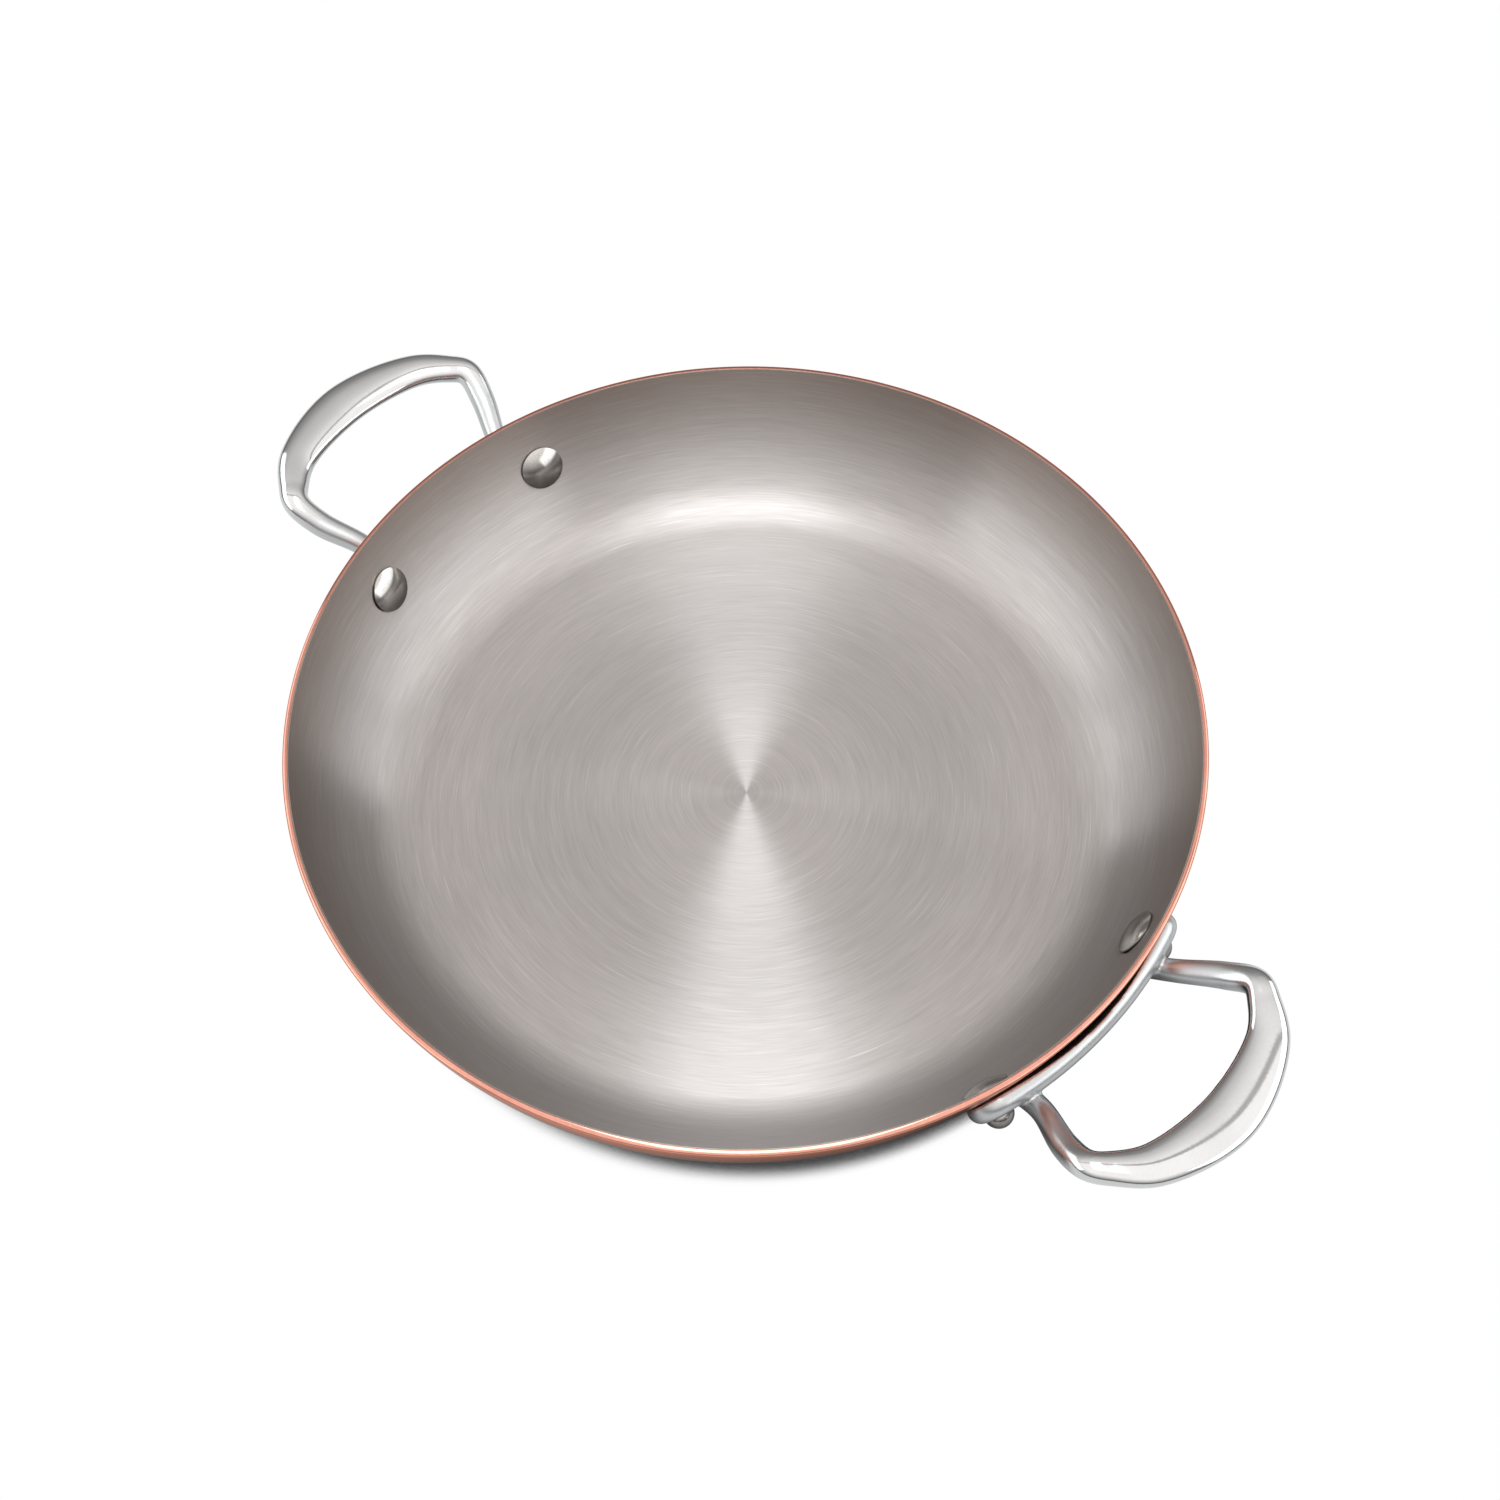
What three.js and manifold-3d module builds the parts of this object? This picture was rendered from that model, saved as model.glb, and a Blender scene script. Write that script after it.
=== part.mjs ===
// Round copper pan with a bonded steel lining and two riveted cast loop handles.
// Millimetres, +Z up. The origin is the centre of the resting face, and the handles lie along X.
import * as THREE from 'three';
import { mergeVertices } from 'three/addons/utils/BufferGeometryUtils.js';
import Module from 'manifold-3d';

const wasm = await Module();
wasm.setup();

// Pan shell
const RIM_RADIUS = 140; // outside of the copper at the rim
const PAN_HEIGHT = 46; // resting face to rim
const WALL_RUN = 34; // edge of the flat floor to the inside of the rim, seen from above
const COPPER_THICKNESS = 1.65;
const BOND_THICKNESS = 0.05; // left open between the copper and the lining
const LINING_THICKNESS = 0.3;
const CORNER_SLOPE = 45; // degrees, where the tight corner curve meets the long wall curve
const RIM_SLOPE = 82; // degrees, slope of the wall at the rim
const RIM_ROUND = 1.2; // rounding of the copper's outer top edge

// Rivets
const RIVET_DROP = 19.6; // rim down to the rivet's axis on the inside of the wall
const RIVET_SPREAD = 35.2; // handle's middle to a rivet, along the outside of the wall
const SHANK_RADIUS = 3;
const HOLE_CLEARANCE = 0.2; // round the shank
const INNER_HEAD_RADIUS = 7.25;
const INNER_HEAD_HEIGHT = 2.2;
const OUTER_HEAD_RADIUS = 4.4;
const OUTER_HEAD_HEIGHT = 3.8;
const HEAD_EDGE = 0.6; // upright edge under each dome
const HEAD_CLEARANCE = 0.3; // under and beside a head

// Handle seat: a strip with round ends that hugs the wall
const SEAT_HALF_HEIGHT = 10;
const SEAT_RISE = 2.2; // rivets' line up to the middle of the strip
const SEAT_END_REACH = 8.5; // rivet's axis to the end of the strip
const SEAT_THICKNESS = 5.4;
const SEAT_EDGE = 1.6; // upright edge of the strip
const SEAT_ROUND = 4; // width of the rounding from that edge to the full thickness
const SEAT_CLEARANCE = 0.3; // between the strip and the wall
const BRIDGE_RELIEF = 1.3; // extra gap behind the middle of the strip

// Handle loop, from the seat to the middle of the grip. Reach is measured outwards from the rim, spread
// sideways from the handle's middle, and drop down from the rim. Width is level and thickness upright.
const LOOP_KEYS = {
  root: { reach: 4, spread: 30, drop: 15.2, width: 6.8, thickness: 7 },
  leg: { reach: 16.8, spread: 36, drop: 9.4, width: 8, thickness: 8 },
  bend: { reach: 25.4, spread: 37.7, drop: 4.5, width: 8.7, thickness: 7.8 },
  corner: { reach: 30.8, spread: 34.1, drop: 3.9, width: 9.8, thickness: 7.4 },
  shoulder: { reach: 38.8, spread: 24.8, drop: 3.7, width: 12.8, thickness: 7 },
  grip: { reach: 44.7, spread: 0, drop: 3.7, width: 16.4, thickness: 6.6 },
};
const LEG_FOOT_SPREAD = 27.3; // handle's middle to the leg's foot inside the seat
const LEG_FOOT_DROP = 19.5; // rim down to the leg's foot
const SECTION_POWER = 2.2; // 2 is an ellipse, more is squarer

// Facets
const PAN_SEGMENTS = 72;
const CORNER_STEPS = 5;
const WALL_STEPS = 4;
const ROUND_STEPS = 3;
const RIVET_SEGMENTS = 16;
const DOME_STEPS = 4;
const STEPS_PER_KEY = 4;
const SECTION_POINTS = 16;
const SEAT_END_STEPS = 8;
const SEAT_SIDE_STEPS = 12;

// Finishes
const copperFinish = { color: 0xc9754f, roughness: 0.28, metalness: 1 };
const brushedFinish = { color: 0xb4aea9, roughness: 0.38, metalness: 1 };
const castFinish = { color: 0xcfd1d2, roughness: 0.14, metalness: 1 };
const rivetFinish = { color: 0xa7a29d, roughness: 0.24, metalness: 1 };

// Wall profile: a floor, a tight corner arc and a long wall arc, tangent to each other
const radians = THREE.MathUtils.degToRad;
const cornerSlope = radians(CORNER_SLOPE);
const rimSlope = radians(RIM_SLOPE);
const wallThickness = COPPER_THICKNESS + BOND_THICKNESS + LINING_THICKNESS;
const innerRimRadius = RIM_RADIUS - wallThickness / Math.sin(rimSlope);
const floorRadius = innerRimRadius - WALL_RUN;
const wallRise = PAN_HEIGHT - wallThickness;

// The two arc radii follow from the wall's run and rise: each arc adds radius * (change of sine) to the
// run and radius * (change of cosine) to the rise.
const cornerRun = Math.sin(cornerSlope);
const cornerRise = 1 - Math.cos(cornerSlope);
const upperRun = Math.sin(rimSlope) - Math.sin(cornerSlope);
const upperRise = Math.cos(cornerSlope) - Math.cos(rimSlope);
const determinant = cornerRun * upperRise - upperRun * cornerRise;
const cornerRadius = (WALL_RUN * upperRise - wallRise * upperRun) / determinant;
const upperRadius = (wallRise * cornerRun - WALL_RUN * cornerRise) / determinant;

// Point of the wall at a slope, moved outwards from the lining's inside by an offset
function wallPoint(slope, offset) {
  const inCorner = slope <= cornerSlope;
  const shift = inCorner ? 0 : cornerRadius - upperRadius;
  const radius = (inCorner ? cornerRadius : upperRadius) + offset;
  const centreR = floorRadius + shift * Math.sin(cornerSlope);
  const centreZ = wallThickness + cornerRadius - shift * Math.cos(cornerSlope);
  return new THREE.Vector2(centreR + radius * Math.sin(slope), centreZ - radius * Math.cos(slope));
}

// Slope of the wall's inside at a height
function slopeAtHeight(height) {
  const cornerTop = wallPoint(cornerSlope, 0).y;
  if (height < cornerTop) {
    return Math.acos(1 - (height - wallThickness) / cornerRadius);
  }
  return Math.acos(Math.cos(cornerSlope) - (height - cornerTop) / upperRadius);
}

// Slope reached by walking a distance up the outside of the wall from a given slope
function slopeAfter(slope, distance) {
  const cornerOuter = cornerRadius + wallThickness;
  const upperOuter = upperRadius + wallThickness;
  const cornerLength = cornerOuter * cornerSlope;
  const start = slope <= cornerSlope ? cornerOuter * slope : cornerLength + upperOuter * (slope - cornerSlope);
  const length = start + distance;
  if (length <= cornerLength) {
    return length / cornerOuter;
  }
  return cornerSlope + (length - cornerLength) / upperOuter;
}

// Profile of the wall at an offset, from the axis up to a height near the rim
function wallProfile(offset, top) {
  const points = [new THREE.Vector2(0, wallThickness - offset)];
  for (let i = 0; i <= CORNER_STEPS; i += 1) {
    points.push(wallPoint((cornerSlope * i) / CORNER_STEPS, offset));
  }
  const arcTop = wallPoint(rimSlope, offset).y;
  const overshoot = Math.max(arcTop - top, 0) / (upperRadius + offset);
  const endSlope = overshoot > 0 ? Math.acos(Math.cos(rimSlope) + overshoot) : rimSlope;
  for (let i = 1; i <= WALL_STEPS; i += 1) {
    points.push(wallPoint(cornerSlope + ((endSlope - cornerSlope) * i) / WALL_STEPS, offset));
  }
  if (arcTop < top) {
    const last = points[points.length - 1];
    points.push(new THREE.Vector2(last.x + (top - last.y) / Math.tan(rimSlope), top));
  }
  return points;
}

// Solid of revolution about Z, from a profile that runs up its outside
function revolve(profile, segments) {
  return new THREE.LatheGeometry(profile, segments).rotateX(Math.PI / 2);
}

// Closed three.js geometry as a solid that can be joined and cut
function solidOf(geometry) {
  const bare = geometry.clone();
  bare.deleteAttribute('normal');
  bare.deleteAttribute('uv');
  const merged = mergeVertices(bare, 0.0001);
  const index = merged.index.array;
  const triVerts = [];
  for (let i = 0; i < index.length; i += 3) {
    const [a, b, c] = [index[i], index[i + 1], index[i + 2]];
    if (a !== b && b !== c && c !== a) {
      triVerts.push(a, b, c);
    }
  }
  const vertProperties = new Float32Array(merged.attributes.position.array);
  return new wasm.Manifold(new wasm.Mesh({ numProp: 3, vertProperties, triVerts: new Uint32Array(triVerts) }));
}

// A joined or cut solid as three.js geometry
function geometryOf(solid) {
  const { vertProperties, triVerts } = solid.getMesh();
  const geometry = new THREE.BufferGeometry();
  geometry.setAttribute('position', new THREE.BufferAttribute(vertProperties, 3));
  geometry.setIndex(new THREE.BufferAttribute(triVerts, 1));
  return geometry;
}

// Skin over a row of rings that all have the same number of points, where the first and the last ring
// have shrunk to a point or to a line that closes on itself
function skin(rings) {
  const count = rings[0].length;
  const position = rings.flat().flatMap((point) => [point.x, point.y, point.z]);
  const index = [];
  for (let ring = 0; ring + 1 < rings.length; ring += 1) {
    for (let i = 0; i < count; i += 1) {
      const here = ring * count + i;
      const next = ring * count + ((i + 1) % count);
      index.push(here, next, next + count, here, next + count, here + count);
    }
  }
  const geometry = new THREE.BufferGeometry();
  geometry.setAttribute('position', new THREE.Float32BufferAttribute(position, 3));
  geometry.setIndex(index);
  return geometry;
}

// Rivet places: the wall's slope there, and the angle round the pan from the handle's middle
const rivetSlope = slopeAtHeight(PAN_HEIGHT - RIVET_DROP);
const rivetOuterRadius = wallPoint(rivetSlope, wallThickness).x;
const rivetAngle = RIVET_SPREAD / rivetOuterRadius;

// Placement with local Z along the wall's outward normal and the origin on the inside of the wall
function rivetPlacement(angle) {
  const { x: radius, y: height } = wallPoint(rivetSlope, 0);
  const lean = Math.sin(rivetSlope);
  const normal = new THREE.Vector3(lean * Math.cos(angle), lean * Math.sin(angle), -Math.cos(rivetSlope));
  const turn = new THREE.Quaternion().setFromUnitVectors(new THREE.Vector3(0, 0, 1), normal);
  const place = new THREE.Vector3(radius * Math.cos(angle), radius * Math.sin(angle), height);
  return new THREE.Matrix4().compose(place, turn, new THREE.Vector3(1, 1, 1));
}

// Round cutter along a rivet's axis, between two distances from the inside of the wall
function rivetCutter(angle, radius, from, to) {
  const profile = [
    new THREE.Vector2(0, from),
    new THREE.Vector2(radius, from),
    new THREE.Vector2(radius, to),
    new THREE.Vector2(0, to),
  ];
  return solidOf(revolve(profile, RIVET_SEGMENTS).applyMatrix4(rivetPlacement(angle)));
}

const handleTurns = { right: 0, left: Math.PI };
const holeRadius = SHANK_RADIUS + HOLE_CLEARANCE;
const seatFace = wallThickness + SEAT_CLEARANCE + SEAT_THICKNESS;
const cutterMargin = 2 * OUTER_HEAD_HEIGHT;

// Shell with the four rivet holes cut through its wall
function drilled(geometry) {
  let solid = solidOf(geometry);
  for (const turn of Object.values(handleTurns)) {
    for (const side of [-1, 1]) {
      solid = solid.subtract(rivetCutter(turn + side * rivetAngle, holeRadius, -cutterMargin, seatFace));
    }
  }
  return geometryOf(solid);
}

// Copper shell, with its outer top edge rounded off
function copperBody() {
  const outside = wallProfile(wallThickness, PAN_HEIGHT - RIM_ROUND);
  const edge = outside[outside.length - 1];
  const rounding = [];
  for (let i = 1; i <= ROUND_STEPS; i += 1) {
    const angle = ((Math.PI / 2) * i) / ROUND_STEPS;
    const inward = RIM_ROUND * (1 - Math.cos(angle));
    rounding.push(new THREE.Vector2(edge.x - inward, edge.y + RIM_ROUND * Math.sin(angle)));
  }
  const inside = wallProfile(LINING_THICKNESS + BOND_THICKNESS, PAN_HEIGHT).reverse();
  return drilled(revolve([...outside, ...rounding, ...inside], PAN_SEGMENTS));
}

// Steel skin on the inside of the copper
function steelLining() {
  const outside = wallProfile(LINING_THICKNESS, PAN_HEIGHT);
  const inside = wallProfile(0, PAN_HEIGHT).reverse();
  return drilled(revolve([...outside, ...inside], PAN_SEGMENTS));
}

// Domed rivet: the inside head stands clear of the hollow wall, the outside head of the seat strip
function rivet() {
  const hollow = INNER_HEAD_RADIUS ** 2 / (2 * upperRadius);
  const innerUnder = -HEAD_CLEARANCE - hollow;
  const outerUnder = seatFace + HEAD_CLEARANCE;
  const dome = (radius, height, under, way) => {
    const points = [];
    for (let i = 0; i <= DOME_STEPS; i += 1) {
      const angle = ((Math.PI / 2) * i) / DOME_STEPS;
      const rise = HEAD_EDGE + (height - HEAD_EDGE) * Math.sin(angle);
      points.push(new THREE.Vector2(radius * Math.cos(angle), under + way * rise));
    }
    points[DOME_STEPS].x = 0;
    return points;
  };
  return revolve([
    ...dome(INNER_HEAD_RADIUS, INNER_HEAD_HEIGHT, innerUnder, -1).reverse(),
    new THREE.Vector2(INNER_HEAD_RADIUS, innerUnder),
    new THREE.Vector2(SHANK_RADIUS, innerUnder),
    new THREE.Vector2(SHANK_RADIUS, outerUnder),
    new THREE.Vector2(OUTER_HEAD_RADIUS, outerUnder),
    ...dome(OUTER_HEAD_RADIUS, OUTER_HEAD_HEIGHT, outerUnder, 1),
  ], RIVET_SEGMENTS);
}

// Outline of the seat strip at an inset, as distances round the pan and up the wall from its middle
function seatOutline(inset) {
  const kept = 1 - inset / SEAT_HALF_HEIGHT;
  const halfHeight = SEAT_HALF_HEIGHT * kept;
  const endReach = SEAT_END_REACH * kept;
  const points = [];
  for (const side of [1, -1]) {
    for (let i = 0; i <= SEAT_END_STEPS; i += 1) {
      const angle = Math.PI * (i / SEAT_END_STEPS - 0.5);
      points.push([side * (RIVET_SPREAD + endReach * Math.cos(angle)), side * halfHeight * Math.sin(angle)]);
    }
    for (let i = 1; i < SEAT_SIDE_STEPS; i += 1) {
      points.push([side * RIVET_SPREAD * (1 - (2 * i) / SEAT_SIDE_STEPS), side * halfHeight]);
    }
  }
  return points;
}

// Ring of the seat strip, laid on the wall at an offset from the copper's outside
function seatRing(inset, offsetAt) {
  return seatOutline(inset).map(([around, up]) => {
    const slope = slopeAfter(rivetSlope, up + SEAT_RISE);
    const { x: radius, y: height } = wallPoint(slope, wallThickness + offsetAt(around));
    const angle = around / rivetOuterRadius;
    return new THREE.Vector3(radius * Math.cos(angle), radius * Math.sin(angle), height);
  });
}

// Seat strip: an inner face along the wall, an upright edge and a pillowed outer face
function seatStrip() {
  const inner = (around) => {
    const across = Math.min(Math.abs(around) / RIVET_SPREAD, 1);
    return SEAT_CLEARANCE + BRIDGE_RELIEF * (1 - across ** 2) ** 2;
  };
  const outer = (rise) => () => SEAT_CLEARANCE + rise;
  const rings = [
    seatRing(SEAT_HALF_HEIGHT, inner),
    seatRing(SEAT_HALF_HEIGHT / 2, inner),
    seatRing(0, inner),
    seatRing(0, (around) => Math.max(inner(around) + SEAT_EDGE / 2, SEAT_CLEARANCE + SEAT_EDGE)),
  ];
  for (const share of [0.08, 0.25, 0.5, 1]) {
    const bulge = Math.sqrt(1 - (1 - share) ** 2);
    rings.push(seatRing(SEAT_ROUND * share, outer(SEAT_EDGE + (SEAT_THICKNESS - SEAT_EDGE) * bulge)));
  }
  rings.push(seatRing(SEAT_HALF_HEIGHT, outer(SEAT_THICKNESS)));
  return skin(rings);
}

// Smooth run of values through keys, where the keys' spacing follows the root of their distance
function smoothThrough(keys, steps) {
  const gaps = keys.slice(1).map((key, i) => {
    const from = new THREE.Vector3(...keys[i]);
    return Math.sqrt(from.distanceTo(new THREE.Vector3(...key)));
  });
  const pace = (i) => keys[i].map((value, k) => (keys[i + 1][k] - value) / gaps[i]);
  const slopes = keys.map((key, i) => {
    if (i === 0) {
      return pace(0);
    }
    if (i === keys.length - 1) {
      return pace(i - 1);
    }
    const [before, after] = [pace(i - 1), pace(i)];
    const total = gaps[i - 1] + gaps[i];
    return key.map((_, k) => (before[k] * gaps[i] + after[k] * gaps[i - 1]) / total);
  });
  const run = [];
  for (let i = 0; i + 1 < keys.length; i += 1) {
    for (let step = 0; step < steps; step += 1) {
      const t = step / steps;
      const ease = t * t * (3 - 2 * t);
      const leave = t * (1 - t) ** 2 * gaps[i];
      const arrive = t * t * (t - 1) * gaps[i];
      run.push(keys[i].map((value, k) => (
        value * (1 - ease) + keys[i + 1][k] * ease + slopes[i][k] * leave + slopes[i + 1][k] * arrive
      )));
    }
  }
  run.push(keys[keys.length - 1]);
  return run;
}

// Closed section of the loop: an outline between an ellipse and a rectangle
function sectionPoint(angle) {
  const square = (value) => Math.sign(value) * Math.abs(value) ** (2 / SECTION_POWER);
  return [square(Math.cos(angle)), square(Math.sin(angle))];
}

// Loop of the handle: two legs and a crescent grip, as one loft along a smooth centreline
function handleLoop() {
  const footSlope = slopeAtHeight(PAN_HEIGHT - LEG_FOOT_DROP);
  const foot = wallPoint(footSlope, wallThickness + SEAT_CLEARANCE + SEAT_THICKNESS / 2);
  const { root } = LOOP_KEYS;
  const footX = Math.sqrt(foot.x ** 2 - LEG_FOOT_SPREAD ** 2);
  const half = [[footX, LEG_FOOT_SPREAD, foot.y, root.width, root.thickness]];
  for (const key of Object.values(LOOP_KEYS)) {
    half.push([RIM_RADIUS + key.reach, key.spread, PAN_HEIGHT - key.drop, key.width, key.thickness]);
  }
  const mirrored = half.slice(0, -1).reverse().map(([x, y, z, width, thickness]) => [x, -y, z, width, thickness]);
  const stations = smoothThrough([...half, ...mirrored], STEPS_PER_KEY);
  const centres = stations.map(([x, y, z]) => new THREE.Vector3(x, y, z));
  const rings = stations.map(([, , , width, thickness], i) => {
    const before = centres[Math.max(i - 1, 0)];
    const after = centres[Math.min(i + 1, centres.length - 1)];
    const along = after.clone().sub(before).normalize();
    const side = new THREE.Vector3(0, 0, 1).cross(along).normalize();
    const up = along.clone().cross(side);
    const ring = [];
    for (let k = 0; k < SECTION_POINTS; k += 1) {
      const [across, rise] = sectionPoint((2 * Math.PI * k) / SECTION_POINTS);
      const point = centres[i].clone().addScaledVector(side, (across * width) / 2);
      ring.push(point.addScaledVector(up, (rise * thickness) / 2));
    }
    return ring;
  });
  const shrunk = (centre) => new Array(SECTION_POINTS).fill(centre);
  return skin([shrunk(centres[0]), ...rings, shrunk(centres[centres.length - 1])]);
}

// Room that the pan takes up, grown by half of the seat's clearance
function panRoom() {
  const top = PAN_HEIGHT + SEAT_HALF_HEIGHT;
  const outside = wallProfile(wallThickness + SEAT_CLEARANCE / 2, top);
  return solidOf(revolve([...outside, new THREE.Vector2(0, top)], PAN_SEGMENTS));
}

// One casting: seat strip and loop joined, cut back from the pan and drilled for the rivets
function castHandle() {
  let solid = solidOf(seatStrip()).add(solidOf(handleLoop())).subtract(panRoom());
  for (const side of [-1, 1]) {
    const angle = side * rivetAngle;
    const headRoom = OUTER_HEAD_RADIUS + HEAD_CLEARANCE;
    solid = solid.subtract(rivetCutter(angle, holeRadius, 0, seatFace + cutterMargin));
    solid = solid.subtract(rivetCutter(angle, headRoom, seatFace, seatFace + cutterMargin));
  }
  return geometryOf(solid);
}

// Named sub-part with its own finish
function piece(name, geometry, finish) {
  const mesh = new THREE.Mesh(geometry, new THREE.MeshStandardMaterial(finish));
  mesh.name = name;
  return mesh;
}

const pan = new THREE.Group();
pan.add(piece('copper_body', copperBody(), copperFinish));
pan.add(piece('steel_lining', steelLining(), brushedFinish));

const handleGeometry = castHandle();
const rivetGeometry = rivet();
for (const [hand, turn] of Object.entries(handleTurns)) {
  const handle = piece(`${hand}_handle`, handleGeometry, castFinish);
  handle.rotation.z = turn;
  pan.add(handle);
  for (const side of [-1, 1]) {
    const angle = turn + side * rivetAngle;
    const place = Math.sin(angle) < 0 ? 'front' : 'rear';
    const fastener = piece(`${hand}_${place}_rivet`, rivetGeometry, rivetFinish);
    rivetPlacement(angle).decompose(fastener.position, fastener.quaternion, fastener.scale);
    pan.add(fastener);
  }
}

export default pan;
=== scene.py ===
"""Looks of a round copper pan with a brushed steel lining and two riveted cast loop handles.

Metres, +Z up. The origin is the centre of the resting face, and the handles lie along X. The shapes follow
the sizes and formulas of the solids with finer steps. The rim's outer lip is fuller, the rivet heads are
rounder, the casting's joints are softened, and its seat closes on the wall along the lower edge.
"""
import math

import bpy
import numpy as np
from mathutils import Matrix, Vector


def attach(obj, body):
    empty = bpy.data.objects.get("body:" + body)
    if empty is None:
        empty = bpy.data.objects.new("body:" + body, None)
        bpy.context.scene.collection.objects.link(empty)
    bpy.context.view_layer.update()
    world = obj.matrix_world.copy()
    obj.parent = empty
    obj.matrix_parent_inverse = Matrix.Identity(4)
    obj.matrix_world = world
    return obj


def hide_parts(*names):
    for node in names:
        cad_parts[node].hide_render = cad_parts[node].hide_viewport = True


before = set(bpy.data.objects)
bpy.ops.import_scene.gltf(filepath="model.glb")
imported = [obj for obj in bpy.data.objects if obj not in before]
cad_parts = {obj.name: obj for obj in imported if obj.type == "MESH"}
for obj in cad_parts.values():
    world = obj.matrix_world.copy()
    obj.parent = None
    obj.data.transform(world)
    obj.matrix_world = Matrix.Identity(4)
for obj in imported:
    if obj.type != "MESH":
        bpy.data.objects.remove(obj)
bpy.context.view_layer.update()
MM = 0.001

# Pan shell
RIM_RADIUS = 140 * MM
PAN_HEIGHT = 46 * MM
WALL_RUN = 34 * MM
COPPER_THICKNESS = 1.65 * MM
BOND_THICKNESS = 0.05 * MM
LINING_THICKNESS = 0.3 * MM
CORNER_SLOPE = math.radians(45)
RIM_SLOPE = math.radians(82)
RIM_ROUND_ACROSS = 1.5 * MM
RIM_ROUND_TALL = 0.8 * MM
LIP_ROUND = 0.12 * MM

# Rivets
RIVET_DROP = 19.6 * MM
RIVET_SPREAD = 35.2 * MM
SHANK_RADIUS = 3 * MM
INNER_HEAD_RADIUS = 7.25 * MM
INNER_HEAD_HEIGHT = 2.2 * MM
OUTER_HEAD_RADIUS = 4.4 * MM
OUTER_HEAD_HEIGHT = 3.8 * MM
HEAD_EDGE = 0.45 * MM
HEAD_CLEARANCE = 0.3 * MM
HEAD_ROOM_HEIGHT = 3 * OUTER_HEAD_HEIGHT

# Handle seat
SEAT_HALF_HEIGHT = 10 * MM
SEAT_RISE = 2.2 * MM
SEAT_END_REACH = 8.5 * MM
SEAT_THICKNESS = 5.4 * MM
SEAT_EDGE = 1.6 * MM
SEAT_ROUND = 4 * MM
SEAT_CLEARANCE = 0.3 * MM
BRIDGE_RELIEF = 1.3 * MM

# Handle loop, from the seat to the middle of the grip, in millimetres. Reach is measured outwards from
# the rim, spread sideways from the handle's middle, and drop down from the rim. Width is level, and
# thickness upright.
LOOP_KEYS = {
    "root": dict(reach=4, spread=30, drop=15.2, width=6.8, thickness=7),
    "leg": dict(reach=16.8, spread=36, drop=9.4, width=8, thickness=8),
    "bend": dict(reach=25.4, spread=37.7, drop=4.5, width=8.7, thickness=7.8),
    "corner": dict(reach=30.8, spread=34.1, drop=3.9, width=9.8, thickness=7.4),
    "shoulder": dict(reach=38.8, spread=24.8, drop=3.7, width=12.8, thickness=7),
    "grip": dict(reach=44.7, spread=0, drop=3.7, width=16.4, thickness=6.6),
}
LEG_FOOT_SPREAD = 27.3 * MM
LEG_FOOT_DROP = 19.5 * MM
SECTION_POWER = 2.2

# Steps of the surfaces
PAN_SEGMENTS = 360
FLOOR_STEPS = 40
CORNER_STEPS = 24
WALL_STEPS = 36
ROUND_STEPS = 8
RIVET_SEGMENTS = 64
DOME_STEPS = 16
STEPS_PER_KEY = 14
SECTION_POINTS = 48
SEAT_END_STEPS = 24
SEAT_SIDE_STEPS = 60
SEAT_BACK_RINGS = 9
SEAT_ROUND_STEPS = 8
SEAT_FACE_STEPS = 4
SHARP_ANGLE = math.radians(50)
CASTING_VOXEL = 0.45 * MM
CASTING_SMOOTHING = 10
CASTING_SOFTENING = 0.5

# Worked metal: noise values where patches and grain begin and end, and the grain's share of the wear
PATCH_LIMITS = (0.35, 0.7)
PATCH_DETAIL = 3
GRAIN_LIMITS = (0.3, 0.7)
GRAIN_DETAIL = 2
GRAIN_SHARE = 0.35
GRAIN_DEPTH = 0.04 * MM

# Lining steel: colours, and streaks of noise by length, width and detail
LINING_DARK = (0.385, 0.366, 0.356)
LINING_LIGHT = (0.460, 0.440, 0.430)
LINING_SCRATCH = (0.60, 0.58, 0.57)
# Painted shade on the wall: a darker, warmer tint towards the rim, from a height up
LINING_RIM_PAINTED_SHADE = (0.77, 0.69, 0.64)
RIM_PAINTED_SHADE_FROM = 16 * MM
LINING_ROUGHNESS = (0.35, 0.31)
BANDS = dict(length=40 * MM, width=3 * MM, detail=2)
LINES = dict(length=12 * MM, width=0.34 * MM, detail=2)
SCRATCHES = dict(length=26 * MM, width=0.24 * MM, detail=1)
GROOVES = dict(length=14 * MM, width=0.26 * MM, detail=1)
STREAK_ROUGHNESS = 0.55
TONE_LIMITS = (0.3, 0.7)
LINE_SHARE = 0.7
SCRATCH_LIMITS = (0.66, 0.74)
SCRATCH_SHARE = 0.6
GROOVE_DEPTH = 0.017 * MM

# Lighter and darker rings in the lining's colour: radius of the first light ring, way to the next, and
# strength
LIGHT_RING_FIRST = 20 * MM
LIGHT_RING_PITCH = 80 * MM
LIGHT_RING_SHARE = 0.055

# Satin seat of a handle, by distance from the pan's axis, and painted shade low on a rivet's heads, by
# height
SATIN_FULL = 154 * MM
SATIN_END = 174 * MM
SATIN_TINT = (0.81, 0.82, 0.825)
SATIN_ROUGHNESS = 0.25
RIVET_PAINTED_SHADE_FULL = 22.5 * MM
RIVET_PAINTED_SHADE_END = 30 * MM
RIVET_PAINTED_SHADE_TINT = (0.26, 0.25, 0.24)
RIVET_LOW_ROUGHNESS = 0.06

# Floor, and its shadow to the camera and in reflections: reach, and openness where it is darkest and ends
FLOOR_SIZE = 1.2
FLOOR_GREY = (0.8, 0.8, 0.8)
CONTACT_REACH = 13 * MM
CONTACT_OPENNESS = (0.64, 0.92)
MIRRORED_REACH = 50 * MM
MIRRORED_OPENNESS = (0.36, 0.97)
SHADOW_DARKEST = 0.05
SHADOW_LEAN = 0.5
SHADOW_SAMPLES = 16

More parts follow.
